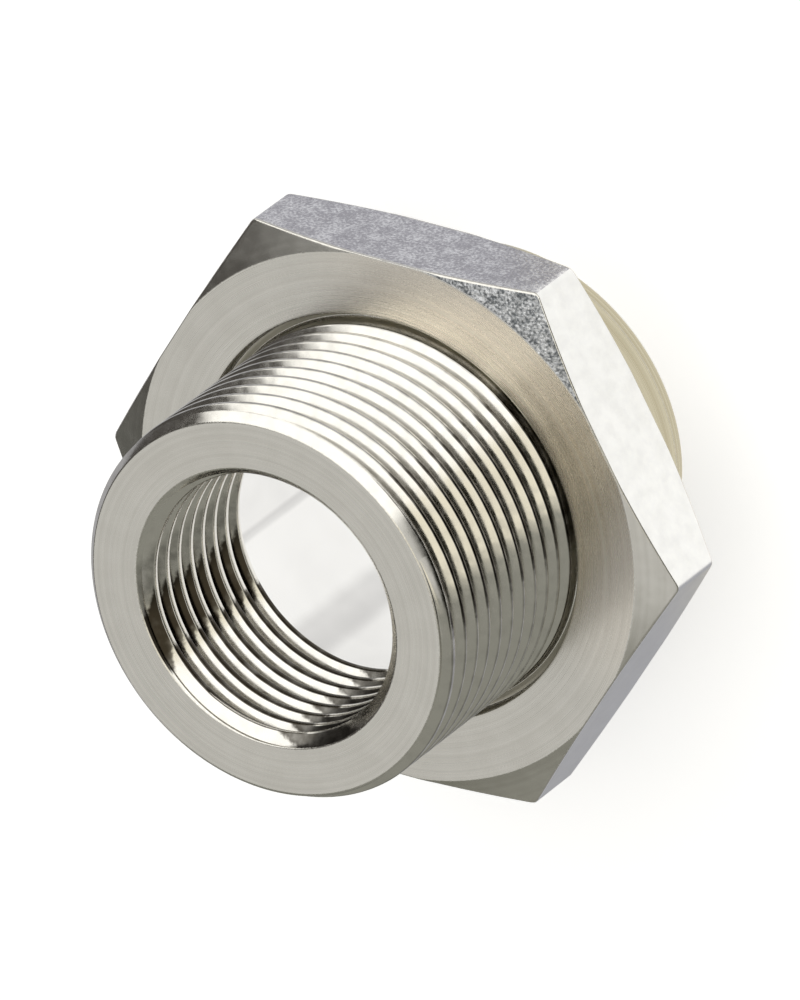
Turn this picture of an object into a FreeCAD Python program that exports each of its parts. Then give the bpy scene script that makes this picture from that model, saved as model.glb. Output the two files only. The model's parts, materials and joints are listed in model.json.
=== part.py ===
import FreeCAD, Part
import os
import Sketcher

# Hex bushing, turned and milled from one bar of hexagonal brass.
#
# A thin hexagon carries a male-threaded boss in front and a plain boss behind it.
# The front boss has a female thread, which opens into a wider smooth bore at the rear.
# Threads are held here as their crest cylinders: the male thread's outside diameter
# and the female thread's inside diameter.
#
# Frame, in millimetres: the origin is the centre of the rear end face, +Z runs along the
# axis to the front end, and two flats of the hexagon are square to the Y axis.

doc = FreeCAD.newDocument("HexBushing")

# Driving dimensions
DIMENSIONS = [
    # hexagon
    ("across_flats", 38.0, "spanner size"),
    ("hex_width", 6.5, "thickness of the hexagon along the axis"),
    ("face_circle_margin", 0.2, "turned face circle diameter less the spanner size"),
    ("corner_chamfer_angle", 20.0, "slope of the turned corners from the face, in degrees"),
    # male-threaded front boss, M28 x 1.5
    ("male_thread_diameter", 28.0, "diameter over the thread crests"),
    ("front_boss_length", 15.5, "from the hexagon's face to the front end"),
    ("front_end_chamfer", 0.65, "outer chamfer of the front end, a little less than the thread"),
    ("face_relief_width", 0.7, "radial width of the groove round the foot of the boss"),
    ("face_relief_depth", 1.2, "depth of that groove into the hexagon's face"),
    # female thread in the front boss, M20 x 1.5
    ("female_thread_diameter", 20.0, "nominal diameter at the thread roots"),
    ("female_thread_pitch", 1.5, "pitch of the inner thread"),
    ("female_thread_reach", 11.8, "from the front end to the last thread"),
    ("countersink_margin", 0.1, "countersink diameter less the nominal thread diameter"),
    # plain rear boss and its smooth bore
    ("rear_boss_diameter", 27.5, "outside diameter of the plain boss"),
    ("rear_boss_length", 9.5, "from the rear end to the hexagon"),
    ("rear_lead_length", 1.2, "length of the slight taper at the rear end"),
    ("rear_lead_depth", 0.3, "how much that taper takes off the radius"),
    ("rear_bore_diameter", 22.0, "smooth bore for a tube"),
    ("rear_bore_chamfer", 0.4, "chamfer at the mouth of the smooth bore"),
    # ISO metric thread form, as shares of the pitch
    ("female_thread_form", 1.0825, "nominal diameter less inside diameter, over the pitch"),
]

sheet = doc.addObject("Spreadsheet::Sheet", "Dimensions")
for row, (alias, value, note) in enumerate(DIMENSIONS, start=1):
    sheet.set(f"A{row}", alias)
    sheet.set(f"B{row}", str(value))
    sheet.set(f"C{row}", note)
    sheet.setAlias(f"B{row}", alias)
doc.recompute()


def size(alias):
    """The expression that reads one driving dimension."""
    return f"Dimensions.{alias}"


# Levels along the axis, measured from the rear end
HEX_REAR = size("rear_boss_length")
HEX_FRONT = f"({HEX_REAR} + {size('hex_width')})"
HEX_MIDDLE = f"({HEX_REAR} + {size('hex_width')} / 2)"
FRONT_END = f"({HEX_FRONT} + {size('front_boss_length')})"
LAST_THREAD = f"({FRONT_END} - {size('female_thread_reach')})"

# Radii of the turned surfaces
MALE_CREST = f"({size('male_thread_diameter')} / 2)"
FEMALE_ROOT = f"({size('female_thread_diameter')} / 2)"
FEMALE_THREAD_HEIGHT = f"({size('female_thread_pitch')} * {size('female_thread_form')} / 2)"
FEMALE_CREST = f"({FEMALE_ROOT} - {FEMALE_THREAD_HEIGHT})"
COUNTERSINK = f"({FEMALE_ROOT} + {size('countersink_margin')} / 2)"
REAR_OUTSIDE = f"({size('rear_boss_diameter')} / 2)"
REAR_BORE = f"({size('rear_bore_diameter')} / 2)"
FACE_CIRCLE = f"(({size('across_flats')} + {size('face_circle_margin')}) / 2)"
# A circle just outside the hexagon's corners, which lie at 0.577 of the spanner size
CORNER_CLEARANCE = f"({size('across_flats')} * 0.6)"

body = doc.addObject("PartDesign::Body", "BushingBody")
body.Label = "bushing_body"


def origin_plane(role):
    """One of the body's own origin planes."""
    return next(feature for feature in body.Origin.OriginFeatures if feature.Role == role)


def new_sketch(name, role):
    """An empty sketch on an origin plane of the body."""
    sketch = body.newObject("Sketcher::SketchObject", name)
    sketch.AttachmentSupport = [(origin_plane(role), "")]
    sketch.MapMode = "FlatFace"
    return sketch


def bind_distance(sketch, kind, line, expression, name):
    """Ties the start of a line to its distance from the origin along one sketch axis."""
    value = float(sketch.evalExpression(expression))
    index = sketch.addConstraint(Sketcher.Constraint(kind, -1, 1, line, 1, value))
    sketch.renameConstraint(index, name)
    sketch.setExpression(f"Constraints.{name}", expression)


def draw_outline(sketch, corners):
    """A closed outline through corners given as pairs of expressions, radius and level."""
    points = [
        FreeCAD.Vector(*[float(sketch.evalExpression(part)) for part in corner], 0)
        for corner in corners
    ]
    first = sketch.GeometryCount
    count = len(points)
    for i in range(count):
        sketch.addGeometry(Part.LineSegment(points[i], points[(i + 1) % count]), False)
    for i in range(count):
        following = first + (i + 1) % count
        sketch.addConstraint(Sketcher.Constraint("Coincident", first + i, 2, following, 1))
    for i, (radius, level) in enumerate(corners):
        line = first + i
        if radius == "0":
            sketch.addConstraint(Sketcher.Constraint("PointOnObject", line, 1, -2))
        else:
            bind_distance(sketch, "DistanceX", line, radius, f"radius_{line}")
        if level == "0":
            sketch.addConstraint(Sketcher.Constraint("PointOnObject", line, 1, -1))
        else:
            bind_distance(sketch, "DistanceY", line, level, f"level_{line}")


def turn(kind, name, outlines):
    """Revolves outlines about the axis, adding (Revolution) or cutting (Groove) material."""
    volume_before = body.Shape.Volume
    sketch = new_sketch(f"{name}_outline", "XZ_Plane")
    for outline in outlines:
        draw_outline(sketch, outline)
    feature = body.newObject(f"PartDesign::{kind}", name)
    feature.Profile = sketch
    feature.ReferenceAxis = (sketch, ["V_Axis"])
    feature.Angle = 360
    feature.Refine = True
    doc.recompute()
    change = body.Shape.Volume - volume_before
    if (kind == "Groove") == (change >= 0):
        raise RuntimeError(f"{name} changed the volume by {change:.3f} mm3")
    return feature


def hexagon():
    """The hexagonal bar, between the two bosses."""
    sketch = new_sketch("hexagon_outline", "XY_Plane")
    sketch.setExpression("AttachmentOffset.Base.z", HEX_REAR)
    flats = float(sketch.evalExpression(size("across_flats")))
    corner_radius = flats / 3**0.5
    corner = FreeCAD.Vector(corner_radius, 0, 0)
    turn_one_side = FreeCAD.Rotation(FreeCAD.Vector(0, 0, 1), 60)
    corners = [corner]
    for _ in range(5):
        corners.append(turn_one_side.multVec(corners[-1]))
    for i in range(6):
        sketch.addGeometry(Part.LineSegment(corners[i], corners[(i + 1) % 6]), False)
    centre = FreeCAD.Vector(0, 0, 0)
    up = FreeCAD.Vector(0, 0, 1)
    circle = sketch.addGeometry(Part.Circle(centre, up, corner_radius), True)
    sketch.addConstraint(Sketcher.Constraint("Coincident", circle, 3, -1, 1))
    for i in range(6):
        sketch.addConstraint(Sketcher.Constraint("Coincident", i, 2, (i + 1) % 6, 1))
        sketch.addConstraint(Sketcher.Constraint("PointOnObject", i, 1, circle))
    for i in range(1, 6):
        sketch.addConstraint(Sketcher.Constraint("Equal", 0, i))
    sketch.addConstraint(Sketcher.Constraint("PointOnObject", 0, 1, -1))
    # The side from corner 1 to corner 2 is the +Y flat, and corner 4 is on the -Y flat
    index = sketch.addConstraint(Sketcher.Constraint("DistanceY", 4, 1, 1, 1, flats))
    sketch.renameConstraint(index, "across_flats")
    sketch.setExpression("Constraints.across_flats", size("across_flats"))
    pad = body.newObject("PartDesign::Pad", "hexagon")
    pad.Profile = sketch
    pad.setExpression("Length", size("hex_width"))
    doc.recompute()


def front_boss():
    """The male-threaded boss, chamfered at its front end."""
    chamfer = size("front_end_chamfer")
    outline = [
        ("0", HEX_MIDDLE),
        (MALE_CREST, HEX_MIDDLE),
        (MALE_CREST, f"({FRONT_END} - {chamfer})"),
        (f"({MALE_CREST} - {chamfer})", FRONT_END),
        ("0", FRONT_END),
    ]
    turn("Revolution", "front_boss", [outline])


def rear_boss():
    """The plain boss behind the hexagon, with a slight taper that leads it in."""
    outline = [
        ("0", "0"),
        (f"({REAR_OUTSIDE} - {size('rear_lead_depth')})", "0"),
        (REAR_OUTSIDE, size("rear_lead_length")),
        (REAR_OUTSIDE, HEX_MIDDLE),
        ("0", HEX_MIDDLE),
    ]
    turn("Revolution", "rear_boss", [outline])


def hexagon_corners():
    """The turned chamfers that leave a round face on both sides of the hexagon."""
    slope = f"tan({size('corner_chamfer_angle')})"
    drop = f"({CORNER_CLEARANCE} - {FACE_CIRCLE}) * {slope}"
    front = [
        (FACE_CIRCLE, HEX_FRONT),
        (CORNER_CLEARANCE, HEX_FRONT),
        (CORNER_CLEARANCE, f"({HEX_FRONT} - {drop})"),
    ]
    rear = [
        (FACE_CIRCLE, HEX_REAR),
        (CORNER_CLEARANCE, HEX_REAR),
        (CORNER_CLEARANCE, f"({HEX_REAR} + {drop})"),
    ]
    turn("Groove", "hexagon_corners", [front, rear])


def face_relief():
    """The narrow groove in the hexagon's face round the foot of the threaded boss."""
    outside = f"({MALE_CREST} + {size('face_relief_width')})"
    floor = f"({HEX_FRONT} - {size('face_relief_depth')})"
    outline = [
        (MALE_CREST, floor),
        (outside, floor),
        (outside, HEX_FRONT),
        (MALE_CREST, HEX_FRONT),
    ]
    turn("Groove", "face_relief", [outline])


def stepped_bore():
    """The way through: smooth bore, chamfered end of the thread, thread and countersink."""
    mouth = size("rear_bore_chamfer")
    outline = [
        ("0", "0"),
        (f"({REAR_BORE} + {mouth})", "0"),
        (REAR_BORE, mouth),
        (REAR_BORE, f"({LAST_THREAD} - {FEMALE_THREAD_HEIGHT})"),
        (FEMALE_ROOT, f"({LAST_THREAD} - {FEMALE_THREAD_HEIGHT})"),
        (FEMALE_CREST, LAST_THREAD),
        (FEMALE_CREST, f"({FRONT_END} - ({COUNTERSINK} - {FEMALE_CREST}))"),
        (COUNTERSINK, FRONT_END),
        ("0", FRONT_END),
    ]
    turn("Groove", "stepped_bore", [outline])


def check_and_write(node):
    """Stops on any failed object, then writes the finished solid."""
    doc.recompute()
    for item in doc.Objects:
        if "Invalid" in item.State or "Error" in item.State:
            raise RuntimeError(f"{item.Name} failed: {item.State}")
    shape = node.Shape
    if shape.isNull() or not shape.isValid() or len(shape.Solids) != 1:
        raise RuntimeError(f"{node.Label} is not one valid solid")
    os.makedirs("parts", exist_ok=True)
    shape.exportStep(f"parts/{node.Label}.step")
    length = shape.BoundBox.ZLength
    print(f"{node.Label}: {shape.Volume:.1f} mm3, {length:.2f} mm long")


hexagon()
front_boss()
rear_boss()
hexagon_corners()
face_relief()
stepped_bore()
check_and_write(body)
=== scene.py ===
"""Hex bushing of nickel-plated brass, with true helical threads, on a pale floor.

Sizes are in millimetres until they go into a mesh, and every mesh is in metres, in the
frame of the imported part: the axis is +Z and the rear end stands on the floor. An azimuth
is an angle round the axis from +X.
"""
import json
import math

import bpy
from mathutils import Matrix, Vector


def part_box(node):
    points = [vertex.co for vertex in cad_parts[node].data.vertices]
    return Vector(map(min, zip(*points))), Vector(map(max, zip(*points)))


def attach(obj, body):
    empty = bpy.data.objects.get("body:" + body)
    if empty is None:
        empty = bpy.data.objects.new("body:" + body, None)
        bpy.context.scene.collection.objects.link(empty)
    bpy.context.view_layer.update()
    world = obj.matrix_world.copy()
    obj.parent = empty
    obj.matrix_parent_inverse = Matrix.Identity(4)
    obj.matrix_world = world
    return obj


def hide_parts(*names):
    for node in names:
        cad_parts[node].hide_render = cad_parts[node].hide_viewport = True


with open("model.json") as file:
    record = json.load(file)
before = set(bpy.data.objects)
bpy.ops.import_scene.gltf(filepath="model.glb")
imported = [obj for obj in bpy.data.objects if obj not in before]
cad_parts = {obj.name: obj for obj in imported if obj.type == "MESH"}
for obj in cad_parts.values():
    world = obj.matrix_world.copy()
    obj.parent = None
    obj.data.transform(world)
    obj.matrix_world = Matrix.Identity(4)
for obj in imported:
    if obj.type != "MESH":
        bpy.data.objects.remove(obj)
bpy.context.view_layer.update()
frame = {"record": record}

MM = 0.001
NODE = "bushing_body"

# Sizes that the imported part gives
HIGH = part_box(NODE)[1] / MM
MOUNTS = {mount["name"]: mount for mount in frame["record"]["mounts"]}
FLAT = HIGH.y
FRONT = HIGH.z
MALE_CREST = MOUNTS["male_thread"]["dims"]["r_mm"]
FEMALE_CREST = MOUNTS["female_thread"]["dims"]["r_mm"]
REAR_BORE = MOUNTS["tube_socket"]["dims"]["r_mm"]
HEX_FRONT = MOUNTS["hexagon_shoulder"]["pos_m"][2] / MM

# Sizes of the threads: the depths are the metric thread's shares of the pitch
PITCH = 1.5
MALE_DEPTH = 0.6134 * PITCH
FEMALE_DEPTH = 0.5413 * PITCH
FEMALE_ROOT = FEMALE_CREST + FEMALE_DEPTH
LAST_THREAD = FRONT - 11.8
COUNTERSINK = FEMALE_ROOT + 0.05

# Sizes of the hexagon: its front face is a circle a little wider than the flats, and the
# corners beyond it are turned to cones
FLATS = 6
FLAT_DEGREES = 360 / FLATS
HALF_FLAT = math.pi / FLATS
HEX_REAR = HEX_FRONT - 6.5
FACE_CIRCLE = FLAT + 0.1
CORNER_SLOPE = math.tan(math.radians(20))
CORNER_ROUND = 0.6
LEAST_CONE_WIDTH = 0.06
LEAST_CONE_DROP = 0.05

# Sizes of the other turned forms
RELIEF_WIDTH = 0.7
RELIEF_DEPTH = 1.2
FRONT_CHAMFER = 0.65
REAR_OUTSIDE = 13.75
REAR_LEAD_LENGTH = 1.2
REAR_LEAD_DEPTH = 0.3
BORE_CHAMFER = 0.4

# How far edges are broken, and the rims of the flats by their finish
SHARP_BREAK = 0.05
END_BREAK = 0.08
SOFT_BREAK = 0.1
REAR_END_BREAK = 0.12
RELIEF_FILLET = 0.15
BOSS_FILLET = 0.2
RIM_BREAKS = {"smooth": 0.08, "pitted": 0.15}

# Flats that are pitted, counted from the one between the corners at azimuths 0 and 60,
# and the azimuths, in degrees, between which the turned corners are torn
PITTED_FLATS = (1, 2, 4)
TORN_CORNERS = (30, 90)

# How finely the turned forms are divided: columns round the axis, more of them over each
# rounded corner as shares of its half, steps over each edge, and the share of a side that an
# edge's easing may take
COLUMNS = 240
CORNER_COLUMNS = (-1, -0.6, -0.25, 0.25, 0.6, 1)
EDGE_STEPS = 3
EASE_SHARE = 0.4

# Surfaces whose shading is held flat by points beside their edges, how far off those lie, and
# the angle up to which faces shade as one
HELD_SURFACES = ("turned", "boss", "corner", "torn", "smooth", "pitted", "face")
HOLD = 0.1
HOLD_SHARE = 0.46
SMOOTH_ANGLE = math.radians(38)

# The cutters of the threads: flank and root; the crests' rounding, its angle, its steps and
# how far it stops short of the crest; and how far a cutter reaches beyond the crests, beyond
# the front and, where it fades, out of the metal
FLANK_SLOPE = math.tan(math.radians(30))
ROOT_HALF_WIDTH = PITCH / 16
CREST_ROUND = 0.2
CREST_TURN = math.radians(60)
CREST_STEPS = 4
CREST_GAP = 0.002
CUTTER_REACH = 0.4
CUTTER_OVERRUN = PITCH * 0.6
CLEAR_OF_CREST = 0.05

# The threads' grooves. outwards is 1 where the open side lies outside the crests, and -1 in a
# bore; the groove's middle passes an (azimuth, level); it is swept between two levels, and
# fades over two angles
GROOVES = {
    "thread": {
        "crest": MALE_CREST,
        "depth": MALE_DEPTH,
        "outwards": 1,
        "through": (math.radians(30), HEX_FRONT + 7.97),
        "levels": (HEX_FRONT - 0.75, FRONT + CUTTER_OVERRUN),
        "run_outs": (math.radians(90), math.radians(400)),
    },
    "bore_thread": {
        "crest": FEMALE_CREST,
        "depth": FEMALE_DEPTH,
        "outwards": -1,
        "through": (math.radians(240), HEX_FRONT + 7.75),
        "levels": (LAST_THREAD - FEMALE_DEPTH - CUTTER_OVERRUN, FRONT + CUTTER_OVERRUN),
        "run_outs": (math.radians(10), math.radians(10)),
    },
}

# Colours of the metals
NICKEL_BRIGHT = (0.84, 0.82, 0.77, 1.0)
NICKEL_FACED = (0.77, 0.75, 0.70, 1.0)
NICKEL_DULL = (0.72, 0.70, 0.65, 1.0)
# Lighter, warmer colours for the painted warm reflection on one side of the hexagon's face
WARM_REFLECTION_BRIGHT = (0.97, 0.92, 0.84, 1.0)
WARM_REFLECTION_FACED = (0.91, 0.86, 0.78, 1.0)
# The threads' darkest colour, which their painted shade runs towards
THREAD_PAINTED_SHADE = (0.045, 0.038, 0.028, 1.0)
BOSS_BRIGHT = (0.86, 0.83, 0.73, 1.0)
BOSS_DULL = (0.72, 0.68, 0.57, 1.0)
BORE_BRIGHT = (0.90, 0.89, 0.87, 1.0)
BORE_DULL = (0.62, 0.61, 0.60, 1.0)
SMOOTH_BRIGHT = (0.93, 0.93, 0.92, 1.0)
SMOOTH_DULL = (0.90, 0.90, 0.90, 1.0)
PITTED_BRIGHT = (0.98, 0.98, 0.99, 1.0)
PITTED_DULL = (0.50, 0.49, 0.52, 1.0)
TORN_BRIGHT = (0.66, 0.67, 0.69, 1.0)
TORN_DULL = (0.12, 0.13, 0.14, 1.0)
# The groove's colours, darkened with painted shade
SHADED_GROOVE_BRIGHT = (0.56, 0.53, 0.45, 1.0)
SHADED_GROOVE_DULL = (0.40, 0.38, 0.31, 1.0)

# Noise: its usual detail and two finer ones, the range that most of it takes, a wider range for
# faint patterns, and how far patches shift it
NOISE_DETAIL = 3.0
FINE_DETAIL = 4.0
FINEST_DETAIL = 5.0
NOISE_RANGE = (0.3, 0.7)
WIDE_RANGE = (0.2, 0.8)
PATCH_SHIFT = 0.08

# The side of the hexagon's face with a painted warm reflection: azimuth, half width and soft edge in
# degrees
PAINTED_WARM_SIDE = (40, 45, 30)

# Tone of the smooth bore, the scale of its mottle, and the streaks of painted shade along it, which
# stand in for dark reflections: azimuth, half width and soft edge in degrees, and depth of tone
BORE_TONE = (0.58, 0.7)
BORE_MOTTLE = 160
BORE_SHADE_STREAKS = [
    (182, 16, 3, 0.1),
    (200, 0.5, 2.5, 0.2),
    (243, 4, 7, 0.2),
    (264, 16, 8, 0.08),
]

# Tone of the threads, the scale of their mottle, how far their crests reach in millimetres, and
# their painted shade, which stands in for dark reflections: place, azimuth, half width and soft
# edge in degrees, and depth of tone. The painted shade's edge is ragged by some degrees, in grains
# of a scale, and in the bore it leans by some degrees from crest to root
THREAD_TONE = (0.62, 0.74)
THREAD_MOTTLE = 900
CREST_REACH = 0.12
# Painted shade on the outer thread's crests: faint all round, deeper near azimuth 30
MALE_PAINTED_SHADE = [
    ("crest", 0, 190, 1, 0.1),
    ("crest", 30, 20, 8, 0.2),
]
# Painted shade in the bore's thread, on grooves and crests at a few azimuths
FEMALE_PAINTED_SHADE = [
    ("groove", 201, 10, 5, 0.25),
    ("groove", 189, 15, 14, 0.14),
    ("groove", 290, 14, 5, 0.28),
    ("crest", 250, 34, 5, 0.35),
]
SHADE_RAGGED = 1.0
SHADE_GRAIN = 2600
SHADE_LEAN = 9.0

# The photograph's view: angles in degrees, lengths in millimetres, and the clip in metres
VIEW_AZIMUTH = 44.74
VIEW_ELEVATION = 49.87
VIEW_ROLL = 127.10
VIEW_AIM = (0.14, 0.70, 14.50)
VIEW_DISTANCE = 1330.2
VIEW_LENS = 720.0
VIEW_CLIP = 10.0

# Light: the room, and panels in it as (azimuth, half width, elevation, half height, soft edge,
# colour), with angles in degrees
WHITE = (1.0, 1.0, 1.0, 1.0)
ROOM = (0.605, 0.60, 0.58, 1.0)
PANELS = [
    (-152, 12, 15, 14, 4, (0.12, 0.12, 0.11, 1.0)),
    (-116, 14, 20, 16, 4, (0.2, 0.2, 0.17, 1.0)),
    (-62, 46, 20, 33, 3, (0.27, 0.27, 0.24, 1.0)),
    (-22, 12, 30, 34, 5, (0.27, 0.27, 0.24, 1.0)),
    (176, 15, 45, 14, 5, (0.27, 0.27, 0.26, 1.0)),
    (175, 24, 15, 26, 8, (0.07, 0.065, 0.06, 1.0)),
    (20, 27, 8, 26, 8, (0.015, 0.015, 0.01, 1.0)),
    (12, 27, 72, 18, 4, (0.95, 0.90, 0.75, 1.0)),
    (95, 53, 48, 36, 3, (1.35, 1.34, 1.30, 1.0)),
]

# The floor, whose size is in metres, and what the metal sees in it: a tone with patches as
# (azimuth, half width, soft edge, from, to, blur, colour), with angles in degrees, and
# distances from the axis and their blur in millimetres
FLOOR_SIZE = 4.0
FLOOR_COLOUR = (0.8, 0.8, 0.8, 1.0)
FLOOR_LIFT = 0.6
FLOOR_TONE = (0.42, 0.42, 0.44, 1.0)
FLOOR_PATCHES = [
    (0, 180, 1, 0, 11, 2, (1.05, 1.05, 1.04, 1.0)),
    (30, 40, 40, 13, 22, 3, (0.72, 0.68, 0.56, 1.0)),
    (135, 45, 6, 22, 60, 12, (0.64, 0.64, 0.66, 1.0)),
    (37, 41, 5, 26, 60, 5, (1.14, 1.13, 1.09, 1.0)),
    (-65, 60, 10, 75, 4000, 12, (0.2, 0.2, 0.18, 1.0)),
    (20, 27, 6, 75, 4000, 12, (0.015, 0.015, 0.01, 1.0)),
    (58, 10, 6, 75, 4000, 12, (0.16, 0.15, 0.13, 1.0)),
]


def corner_half_angle():
    """The angle from a corner to where its rounding meets the flat."""
    along_flat = (FLAT - CORNER_ROUND) * math.tan(HALF_FLAT)
    return HALF_FLAT - math.atan(along_flat / FLAT)


def wall_radius(azimuth):
    """Distance from the axis to the hexagon's wall, whose corners are a little rounded."""
    from_corner = (azimuth + HALF_FLAT) % (2 * HALF_FLAT) - HALF_FLAT
    centre = (FLAT - CORNER_ROUND) / math.cos(HALF_FLAT)
    if abs(from_corner) < corner_half_angle():
        off = centre * math.sin(from_corner)
        return centre * math.cos(from_corner) + math.sqrt(CORNER_ROUND**2 - off**2)
    return FLAT / math.cos(HALF_FLAT - abs(from_corner))


def column_azimuths():
    """Even columns round the axis, with a few more over each rounded corner."""
    half = corner_half_angle()
    azimuths = [2 * math.pi * i / COLUMNS for i in range(COLUMNS)]
    for corner in range(FLATS):
        for share in CORNER_COLUMNS:
            azimuths.append((corner * 2 * HALF_FLAT + share * half) % (2 * math.pi))
    return sorted(azimuths)


def flat_finish(azimuth):
    """The finish of the hexagon's flat at an azimuth."""
    flat = math.floor(math.degrees(azimuth) / FLAT_DEGREES) % FLATS
    return "pitted" if flat in PITTED_FLATS else "smooth"


def corner_finish(azimuth):
    """The finish of the turned cone over a corner."""
    low, high = TORN_CORNERS
    return "torn" if low < math.degrees(azimuth) < high else "corner"


def section(azimuth):
    """The half section at an azimuth: corners as (radius, level, edge break, surface after it)."""
    wall = wall_radius(azimuth)
    ring = min(FACE_CIRCLE, wall - LEAST_CONE_WIDTH)
    drop = max((wall - FACE_CIRCLE) * CORNER_SLOPE, LEAST_CONE_DROP)
    flat = flat_finish(azimuth)
    cone = corner_finish(azimuth)
    relief_outside = MALE_CREST + RELIEF_WIDTH
    relief_floor = HEX_FRONT - RELIEF_DEPTH
    step_level = LAST_THREAD - FEMALE_DEPTH
    return [
        (REAR_BORE + BORE_CHAMFER, 0, SHARP_BREAK, "turned"),
        (REAR_OUTSIDE - REAR_LEAD_DEPTH, 0, REAR_END_BREAK, "boss"),
        (REAR_OUTSIDE, REAR_LEAD_LENGTH, SOFT_BREAK, "boss"),
        (REAR_OUTSIDE, HEX_REAR, BOSS_FILLET, "turned"),
        (ring, HEX_REAR, SHARP_BREAK, cone),
        (wall, HEX_REAR + drop, RIM_BREAKS[flat], flat),
        (wall, HEX_FRONT - drop, RIM_BREAKS[flat], cone),
        (ring, HEX_FRONT, SHARP_BREAK, "face"),
        (relief_outside, HEX_FRONT, END_BREAK, "groove"),
        (relief_outside, relief_floor, RELIEF_FILLET, "groove"),
        (MALE_CREST, relief_floor, RELIEF_FILLET, "thread"),
        (MALE_CREST, FRONT - FRONT_CHAMFER, SHARP_BREAK, "thread"),
        (MALE_CREST - FRONT_CHAMFER, FRONT, END_BREAK, "turned"),
        (COUNTERSINK, FRONT, SOFT_BREAK, "bore_thread"),
        (FEMALE_CREST, FRONT - COUNTERSINK + FEMALE_CREST, SHARP_BREAK, "bore_thread"),
        (FEMALE_CREST, LAST_THREAD, SHARP_BREAK, "bore_thread"),
        (FEMALE_ROOT, step_level, SHARP_BREAK, "bore_thread"),
        (REAR_BORE, step_level, SOFT_BREAK, "bore"),
        (REAR_BORE, BORE_CHAMFER, SHARP_BREAK, "turned"),
    ]


def towards(here, other, length, share):
    """The point at a length from here towards another, but no further than a share of the way."""
    way = other - here
    return here + way.normalized() * min(length, way.length * share)


def broken_edges(corners):
    """The section's points, with each corner eased by a short curve, and the surface after each point.

    A held point on each side of a corner keeps the shading of the broad surfaces flat.
    """
    points = []
    surface_before = corners[-1][3]
    for i, (radius, level, ease, surface) in enumerate(corners):
        here = Vector((radius, level))
        before = Vector(corners[i - 1][:2])
        after = Vector(corners[(i + 1) % len(corners)][:2])
        if surface_before in HELD_SURFACES:
            points.append((*towards(here, before, ease + HOLD, HOLD_SHARE), surface_before))
        start = towards(here, before, ease, EASE_SHARE)
        stop = towards(here, after, ease, EASE_SHARE)
        for step in range(EDGE_STEPS + 1):
            t = step / EDGE_STEPS
            point = start * (1 - t) ** 2 + here * 2 * t * (1 - t) + stop * t**2
            points.append((*point, surface if step == EDGE_STEPS else "edge"))
        if surface in HELD_SURFACES:
            points.append((*towards(here, after, ease + HOLD, HOLD_SHARE), surface))
        surface_before = surface
    return points


def in_space(radius, azimuth, level):
    """A point in metres."""
    return Vector((radius * math.cos(azimuth), radius * math.sin(azimuth), level)) * MM


def band(this, following, count):
    """The faces between two closed rings of points, from the numbers of their first points."""
    faces = []
    for j in range(count):
        k = (j + 1) % count
        faces.append((this + j, following + j, following + k, this + k))
    return faces


def new_piece(name, vertices, faces, surfaces, materials):
    """A mesh object whose faces take their materials by name."""
    mesh = bpy.data.meshes.new(name)
    mesh.from_pydata(vertices, [], faces)
    names = list(materials)
    for material in materials.values():
        mesh.materials.append(material)
    for polygon, surface in zip(mesh.polygons, surfaces):
        polygon.material_index = names.index(surface)
    mesh.update()
    piece = bpy.data.objects.new(name, mesh)
    bpy.context.scene.collection.objects.link(piece)
    return piece


def turned_blank(materials):
    """The bushing before its threads are cut: the half section carried round the axis."""
    azimuths = column_azimuths()
    sections = [broken_edges(section(azimuth)) for azimuth in azimuths]
    count = len(sections[0])
    vertices = []
    faces = []
    surfaces = []
    for i, (azimuth, points) in enumerate(zip(azimuths, sections)):
        vertices.extend(in_space(radius, azimuth, level) for radius, level, _ in points)
        faces.extend(band(i * count, (i + 1) % len(sections) * count, count))
        surfaces.extend(surface for _, _, surface in points)
    return new_piece("hex_bushing", vertices, faces, surfaces, materials)


def helix_level(azimuth, through):
    """The level of a groove's middle at an azimuth; through is one (azimuth, level) on its helix."""
    return through[1] + PITCH * (azimuth - through[0]) / (2 * math.pi)


def helix_azimuth(level, through):
    """The azimuth, counted over whole turns, at which a groove's middle is at a level."""
    return through[0] + 2 * math.pi * (level - through[1]) / PITCH


def groove_outline(crest, depth, outwards):
    """A groove's outline as (radius, level) points: a flat root, flanks, rounded crests, an open side.

    depth is what the groove has left below the crests.
    """
    height = max(depth, CREST_ROUND)
    top = crest + outwards * (height - depth)
    wide = ROOT_HALF_WIDTH + height * FLANK_SLOPE
    upper = [(top - outwards * height, ROOT_HALF_WIDTH)]
    for step in range(CREST_STEPS + 1):
        turn = CREST_TURN * (1 - step / CREST_STEPS)
        below = CREST_ROUND * (1 - math.cos(turn)) + CREST_GAP
        level = wide + CREST_ROUND * (FLANK_SLOPE - math.sin(turn))
        upper.append((top - outwards * below, level))
    upper.append((crest + outwards * CUTTER_REACH, upper[-1][1]))
    lower = [(radius, -level) for radius, level in reversed(upper)]
    return (upper + lower)[::-outwards]


def groove_cutter(name, materials, crest, depth, outwards, through, levels, run_outs):
    """A closed solid that sweeps a groove's outline along its helix.

    The cutter's columns lie half way between the blank's. Over the first and last run_outs,
    as angles, the groove grows shallow, slowly at first and at last, until it leaves the metal.
    """
    step = 2 * math.pi / COLUMNS
    first, last = (round(helix_azimuth(level, through) / step) for level in levels)
    vertices = []
    for column in range(first, last + 1):
        azimuth = (column + 0.5) * step
        middle = helix_level(azimuth, through)
        from_ends = ((column - first) * step, (last - column) * step)
        left = max(0.0, *(1 - turned / run_out for turned, run_out in zip(from_ends, run_outs)))
        rise = (depth + CLEAR_OF_CREST) * left * left * (3 - 2 * left)
        points = groove_outline(crest, depth - rise, outwards)
        vertices.extend(in_space(radius, azimuth, middle + level) for radius, level in points)
    count = len(points)
    faces = [tuple(range(count))]
    for i in range(last - first):
        faces.extend(band(i * count, (i + 1) * count, count))
    faces.append(tuple(reversed(range(len(vertices) - count, len(vertices)))))
    return new_piece(name, vertices, faces, [name] * len(faces), materials)


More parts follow.
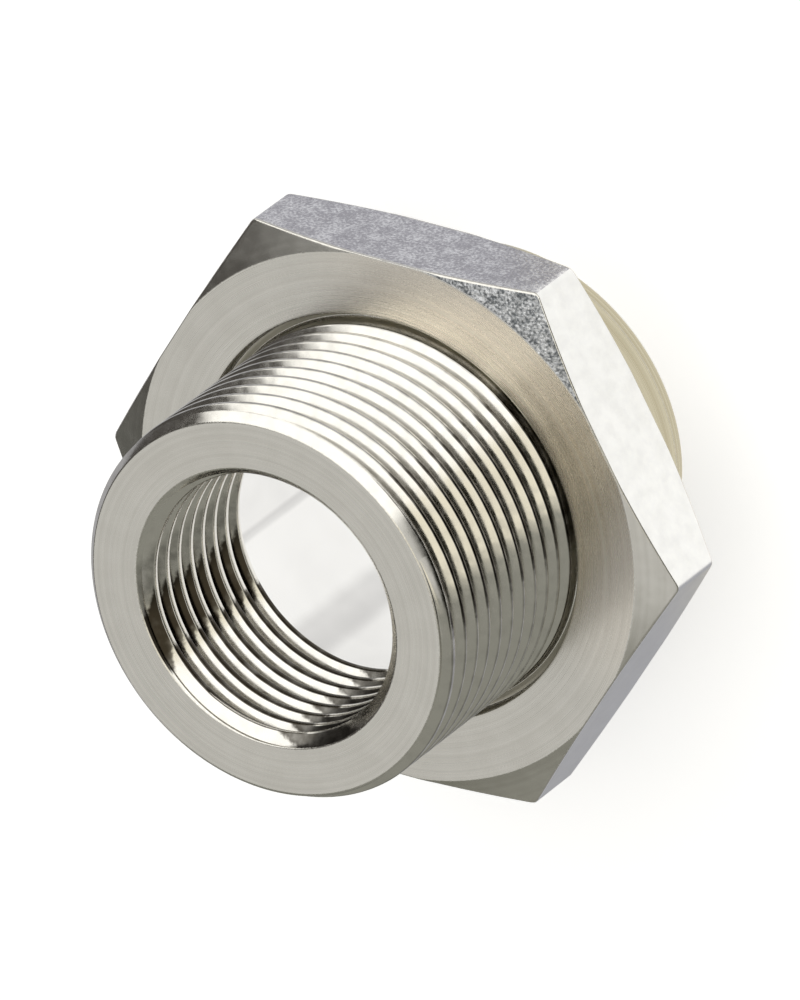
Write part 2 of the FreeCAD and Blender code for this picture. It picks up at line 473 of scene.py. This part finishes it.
def cut(piece, cutter):
    """Takes the cutter's solid out of the piece, and removes the cutter."""
    boolean = piece.modifiers.new("cut", "BOOLEAN")
    boolean.operation = "DIFFERENCE"
    boolean.solver = "EXACT"
    boolean.object = cutter
    scene_graph = bpy.context.evaluated_depsgraph_get()
    result = bpy.data.meshes.new_from_object(piece.evaluated_get(scene_graph))
    piece.modifiers.clear()
    piece.data = result
    bpy.data.objects.remove(cutter)


def bushing(materials):
    """The whole bushing: the turned blank with both threads cut."""
    piece = turned_blank(materials)
    for name, groove in GROOVES.items():
        cut(piece, groove_cutter(name, materials, **groove))
    piece.data.shade_smooth()
    piece.data.set_sharp_from_angle(angle=SMOOTH_ANGLE)
    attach(piece, "root")
    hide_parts(NODE)


def direction(azimuth, elevation):
    """A unit vector from angles in degrees."""
    a, e = math.radians(azimuth), math.radians(elevation)
    return Vector((math.cos(a) * math.cos(e), math.sin(a) * math.cos(e), math.sin(e)))


class Tree:
    """A node tree under construction."""

    def __init__(self, owner):
        owner.use_nodes = True
        self.tree = owner.node_tree
        self.tree.nodes.clear()

    def put(self, value, socket):
        """Gives an input a number, a colour or another node's output."""
        if isinstance(value, bpy.types.NodeSocket):
            self.tree.links.new(value, socket)
        else:
            socket.default_value = value

    def add(self, kind, inputs=None, **settings):
        """A node with its inputs and settings."""
        node = self.tree.nodes.new(f"ShaderNode{kind}")
        for name, value in settings.items():
            setattr(node, name, value)
        for name, value in (inputs or {}).items():
            self.put(value, node.inputs[name])
        return node

    def math(self, operation, *values):
        """A math node's output."""
        return self.add("Math", dict(enumerate(values)), operation=operation).outputs[0]

    def ramp(self, value, low, high, start=0.0, stop=1.0):
        """A value that runs smoothly from start to stop while the input runs from low to high."""
        inputs = {"Value": value, "From Min": low, "From Max": high, "To Min": start, "To Max": stop}
        return self.add("MapRange", inputs, interpolation_type="SMOOTHSTEP").outputs["Result"]

    def within(self, value, middle, half, soft):
        """1 where a value lies no further than half from its middle, and 0 from soft beyond that."""
        off = self.math("ABSOLUTE", self.math("SUBTRACT", value, middle))
        return self.ramp(off, half + soft, half)

    def mix(self, factor, first, second):
        """A colour between two colours."""
        node = self.add("Mix", {"Factor": factor}, data_type="RGBA")
        for name, value in (("A_Color", first), ("B_Color", second)):
            self.put(value, next(s for s in node.inputs if s.identifier == name))
        return next(s for s in node.outputs if s.identifier == "Result_Color")

    def around(self, vector, azimuth):
        """The angle of a vector round the axis, in degrees, counted from an azimuth."""
        parts = []
        for heading in (azimuth, azimuth + 90):
            inputs = {0: vector, 1: tuple(direction(heading, 0))}
            parts.append(self.add("VectorMath", inputs, operation="DOT_PRODUCT").outputs["Value"])
        ahead, aside = parts
        return self.math("DEGREES", self.math("ARCTAN2", aside, ahead))


class Metal(Tree):
    """A metal under construction, whose patterns lie on the object.

    A pattern's scale is how many of its grains lie on a metre.
    """

    def __init__(self, name):
        self.material = bpy.data.materials.new(name)
        super().__init__(self.material)
        self.position = self.add("TexCoord").outputs["Object"]
        self.shader = self.add("BsdfPrincipled", {"Metallic": 1.0})
        self.add("OutputMaterial", {"Surface": self.shader.outputs[0]})

    def colour(self, pattern, dull, bright):
        """Lets the colour run from dull to bright with a pattern."""
        self.put(self.mix(self.stretched(pattern), dull, bright), self.shader.inputs["Base Color"])

    def roughness(self, pattern, smooth, rough):
        """Lets the roughness run from smooth to rough with a pattern."""
        self.put(self.stretched(pattern, smooth, rough), self.shader.inputs["Roughness"])

    def relief(self, pattern, height):
        """Bends the light as a relief of a pattern would, with its height in metres."""
        bump = self.add("Bump", {"Height": pattern, "Strength": 1.0, "Distance": height})
        self.put(bump.outputs[0], self.shader.inputs["Normal"])

    def stretched(self, pattern, start=0.0, stop=1.0):
        """A pattern that runs from start to stop over the range that most noise takes."""
        return self.ramp(pattern, *NOISE_RANGE, start, stop)

    def radius(self):
        """Distance from the axis, in metres."""
        place = self.add("SeparateXYZ", {0: self.position})
        across = self.add("CombineXYZ", {"X": place.outputs["X"], "Y": place.outputs["Y"]})
        return self.add("VectorMath", {0: across.outputs[0]}, operation="LENGTH").outputs["Value"]

    def mottle(self, scale, detail=NOISE_DETAIL):
        """Even noise over the surface."""
        inputs = {"Vector": self.position, "Scale": scale, "Detail": detail}
        return self.add("TexNoise", inputs).outputs["Fac"]

    def rings(self, scale):
        """Noise that changes only with radius and level: circles round the axis."""
        level = self.add("SeparateXYZ", {0: self.position}).outputs["Z"]
        along = self.math("MULTIPLY", self.math("ADD", self.radius(), level), scale)
        inputs = {"W": along, "Scale": 1.0, "Detail": NOISE_DETAIL}
        return self.add("TexNoise", inputs, noise_dimensions="1D").outputs["Fac"]

    def mottled_rings(self, rings_scale, mottle_scale):
        """The mean of circles and even noise."""
        both = self.math("ADD", self.rings(rings_scale), self.mottle(mottle_scale))
        return self.math("MULTIPLY", both, 0.5)

    def patches(self, fine, coarse, shift=0.0):
        """Fine specks, thicker in some places than in others; a negative shift makes bright ones rare."""
        spread = self.stretched(self.mottle(coarse), shift - PATCH_SHIFT, shift + PATCH_SHIFT)
        return self.math("ADD", self.mottle(fine, FINEST_DETAIL), spread)

    def painted_warm_reflection(self, cool, warm):
        """A colour that turns to a painted warm reflection, lighter and warmer, on one side of the
        hexagon's face.
        """
        azimuth, half_width, soft = PAINTED_WARM_SIDE
        side = self.within(self.around(self.position, azimuth), 0, half_width, soft)
        return self.mix(side, cool, warm)

    def shade_streaked_bore(self):
        """Soft streaks of painted shade along the bore at a few azimuths, over a faint mottle."""
        tone = self.ramp(self.mottle(BORE_MOTTLE), *WIDE_RANGE, *BORE_TONE)
        for azimuth, half_width, soft, depth in BORE_SHADE_STREAKS:
            streak = self.within(self.around(self.position, azimuth), 0, half_width, soft)
            tone = self.math("SUBTRACT", tone, self.math("MULTIPLY", streak, depth))
        return tone

    def shaded_tone(self, places, painted_shades, lean):
        """A faint mottle, less the painted shade at its azimuths, each patch only in its place; lean is in
        degrees.
        """
        tone = self.ramp(self.mottle(THREAD_MOTTLE), *WIDE_RANGE, *THREAD_TONE)
        ragged = self.stretched(self.mottle(SHADE_GRAIN), -SHADE_RAGGED, SHADE_RAGGED)
        shift = self.math("SUBTRACT", ragged, lean)
        for place, azimuth, half_width, soft, depth in painted_shades:
            turned = self.math("ADD", self.around(self.position, azimuth), shift)
            spread = self.within(turned, 0, half_width, soft)
            painted_shade = self.math("MULTIPLY", places[place], self.math("MULTIPLY", spread, depth))
            tone = self.math("SUBTRACT", tone, painted_shade)
        return tone


def faced(metal, dull, bright):
    """A surface with the fine circles of the lathe's tool, in two colours."""
    metal.colour(metal.mottled_rings(2200, 500), dull, bright)
    metal.roughness(metal.rings(3000), 0.24, 0.3)
    metal.relief(metal.rings(4200), 8e-7)


def turned_nickel(metal):
    """The faced ends, the rear bore's chamfer and the hexagon's rear face."""
    faced(metal, NICKEL_FACED, NICKEL_BRIGHT)


def face_nickel(metal):
    """The hexagon's front face, with a painted warm reflection that makes one side lighter and warmer."""
    faced(metal, metal.painted_warm_reflection(NICKEL_FACED, WARM_REFLECTION_FACED), metal.painted_warm_reflection(NICKEL_BRIGHT, WARM_REFLECTION_BRIGHT))


def corner_nickel(metal):
    """The cones turned over the hexagon's corners, smoother than the faces."""
    metal.colour(metal.mottled_rings(1800, 600), NICKEL_DULL, NICKEL_BRIGHT)
    metal.roughness(metal.mottle(900), 0.2, 0.27)
    metal.relief(metal.rings(4200), 8e-7)


def threaded(metal, tone):
    """A thread's surface, smoother than the faces, with its painted shade in the tone."""
    metal.colour(tone, THREAD_PAINTED_SHADE, NICKEL_BRIGHT)
    metal.roughness(metal.mottle(1200), 0.12, 0.22)
    metal.relief(metal.mottle(2400), 1.2e-6)


def thread_nickel(metal):
    """The outer thread, with painted shade darkening its crests, faintly all round and more near one
    azimuth.
    """
    below = (MALE_CREST - CREST_REACH) * MM
    above = (MALE_CREST - CREST_REACH / 2) * MM
    crest = metal.ramp(metal.radius(), below, above)
    threaded(metal, metal.shaded_tone({"crest": crest}, MALE_PAINTED_SHADE, 0.0))


def bore_thread_nickel(metal):
    """The bore's thread, with painted shade on its grooves and crests at a few azimuths."""
    radius = metal.radius()
    crest_end = (FEMALE_CREST + CREST_REACH / 2) * MM
    groove_start = (FEMALE_CREST + CREST_REACH) * MM
    groove = metal.ramp(radius, crest_end, groove_start)
    places = {"groove": groove, "crest": metal.math("SUBTRACT", 1.0, groove)}
    lean = metal.ramp(radius, FEMALE_CREST * MM, FEMALE_ROOT * MM, 0.0, SHADE_LEAN)
    threaded(metal, metal.shaded_tone(places, FEMALE_PAINTED_SHADE, lean))


def boss_nickel(metal):
    """The plain rear boss."""
    metal.colour(metal.rings(1800), BOSS_DULL, BOSS_BRIGHT)
    metal.roughness(metal.rings(2500), 0.22, 0.34)
    metal.relief(metal.rings(5000), 2e-6)


def bore_nickel(metal):
    """The smooth bore, polished by its reamer, with a few soft streaks of painted shade along it."""
    metal.colour(metal.shade_streaked_bore(), BORE_DULL, BORE_BRIGHT)
    metal.roughness(metal.mottle(200), 0.14, 0.22)
    metal.relief(metal.mottle(600), 1e-6)


def smooth_flat(metal):
    """A flat of the drawn bar, which the plating leaves smooth and pale."""
    metal.colour(metal.mottle(2600, FINE_DETAIL), SMOOTH_DULL, SMOOTH_BRIGHT)
    metal.roughness(metal.mottle(900), 0.32, 0.42)
    metal.relief(metal.mottle(3500, FINE_DETAIL), 1.5e-6)


def pitted_flat(metal):
    """A flat with the bar's rough skin: fine grey specks and sparks of bright metal."""
    metal.colour(metal.patches(5200, 800, -0.06), PITTED_DULL, PITTED_BRIGHT)
    metal.roughness(metal.mottle(3000), 0.15, 0.45)
    metal.relief(metal.mottle(4200, FINE_DETAIL), 6e-5)


def torn_nickel(metal):
    """The cone over a corner where the tool tore the bar's edge: dark pits and bright specks."""
    metal.colour(metal.patches(5200, 1100), TORN_DULL, TORN_BRIGHT)
    metal.roughness(metal.mottle(4000), 0.2, 0.5)
    metal.relief(metal.mottle(4500, FINE_DETAIL), 6e-5)


def edge_nickel(metal):
    """The broken edges, rubbed smooth in places."""
    metal.colour(metal.mottle(4000), NICKEL_DULL, NICKEL_BRIGHT)
    metal.roughness(metal.mottle(3000), 0.12, 0.3)
    metal.relief(metal.mottle(6000), 4e-6)


def shaded_groove_nickel(metal):
    """The groove round the boss's foot, darkened with painted shade where shade falls in the recess."""
    metal.colour(metal.rings(1500), SHADED_GROOVE_DULL, SHADED_GROOVE_BRIGHT)
    metal.roughness(metal.rings(2500), 0.3, 0.45)
    metal.relief(metal.rings(5000), 2e-6)


def finished(finish):
    """The material of a finish, named after it."""
    metal = Metal(finish.__name__)
    finish(metal)
    return metal.material


def studio_world():
    """A soft studio: white to the camera, and pale and dark panels in what the metal reflects."""
    world = bpy.data.worlds.new("studio")
    bpy.context.scene.world = world
    tree = Tree(world)
    outwards = tree.add("TexCoord").outputs["Generated"]
    up = tree.add("SeparateXYZ", {0: outwards}).outputs["Z"]
    height = tree.math("DEGREES", tree.math("ARCSINE", up))
    light = ROOM
    for azimuth, half_width, elevation, half_height, soft, colour in PANELS:
        across = tree.within(tree.around(outwards, azimuth), 0, half_width, soft)
        reach = tree.math("MULTIPLY", across, tree.within(height, elevation, half_height, soft))
        light = tree.mix(reach, light, colour)
    to_object = tree.add("Background", {"Color": light})
    to_camera = tree.add("Background", {"Color": WHITE})
    is_camera = tree.add("LightPath").outputs["Is Camera Ray"]
    both = tree.add("MixShader", {0: is_camera, 1: to_object.outputs[0], 2: to_camera.outputs[0]})
    tree.add("OutputWorld", {"Surface": both.outputs[0]})


def floor_in_metal(tree):
    """What the metal sees in the floor: pale and dark patches round the part."""
    position = tree.add("TexCoord").outputs["Object"]
    length = tree.add("VectorMath", {0: position}, operation="LENGTH").outputs["Value"]
    distance = tree.math("DIVIDE", length, MM)
    tone = FLOOR_TONE
    for azimuth, half_width, soft, nearest, furthest, blur, colour in FLOOR_PATCHES:
        across = tree.within(tree.around(position, azimuth), 0, half_width, soft)
        middle, half = (nearest + furthest) / 2, (furthest - nearest) / 2
        reach = tree.math("MULTIPLY", across, tree.within(distance, middle, half, blur))
        tone = tree.mix(reach, tone, colour)
    return tone


def pale_floor():
    """The floor, which keeps the object's shadow and is white where nothing shades it."""
    mesh = bpy.data.meshes.new("floor")
    half = FLOOR_SIZE / 2
    corners = [(-half, -half, 0), (half, -half, 0), (half, half, 0), (-half, half, 0)]
    mesh.from_pydata(corners, [], [(0, 1, 2, 3)])
    floor = bpy.data.objects.new("floor", mesh)
    bpy.context.scene.collection.objects.link(floor)
    material = bpy.data.materials.new("floor")
    mesh.materials.append(material)
    tree = Tree(material)
    paths = tree.add("LightPath").outputs
    strength = tree.math("MULTIPLY", paths["Is Camera Ray"], FLOOR_LIFT)
    lit = tree.add("BsdfDiffuse", {"Color": FLOOR_COLOUR})
    lift = tree.add("Emission", {"Color": WHITE, "Strength": strength})
    seen = tree.add("AddShader", {0: lit.outputs[0], 1: lift.outputs[0]})
    reflected = tree.add("Emission", {"Color": floor_in_metal(tree)})
    both = tree.add("MixShader", {0: paths["Is Glossy Ray"], 1: seen.outputs[0], 2: reflected.outputs[0]})
    tree.add("OutputMaterial", {"Surface": both.outputs[0]})


def camera():
    """The photograph's viewpoint: far off, and rolled so that the axis points down to the left."""
    back = direction(VIEW_AZIMUTH, VIEW_ELEVATION)
    level = Vector((0, 0, 1)).cross(back).normalized()
    above = back.cross(level)
    roll = math.radians(VIEW_ROLL)
    up = above * math.cos(roll) + level * math.sin(roll)
    right = up.cross(back)
    place = Matrix((right, up, back)).transposed().to_4x4()
    place.translation = (Vector(VIEW_AIM) + back * VIEW_DISTANCE) * MM
    data = bpy.data.cameras.new("camera")
    data.lens = VIEW_LENS
    data.clip_end = VIEW_CLIP
    seen_by = bpy.data.objects.new("camera", data)
    seen_by.matrix_world = place
    bpy.context.scene.collection.objects.link(seen_by)
    bpy.context.scene.camera = seen_by


# The finish of each surface that the section names
FINISHES = {
    "turned": turned_nickel,
    "face": face_nickel,
    "corner": corner_nickel,
    "thread": thread_nickel,
    "bore_thread": bore_thread_nickel,
    "boss": boss_nickel,
    "bore": bore_nickel,
    "smooth": smooth_flat,
    "pitted": pitted_flat,
    "torn": torn_nickel,
    "edge": edge_nickel,
    "groove": shaded_groove_nickel,
}
bushing({surface: finished(finish) for surface, finish in FINISHES.items()})
studio_world()
pale_floor()
camera()
bpy.context.scene.view_settings.view_transform = "Standard"
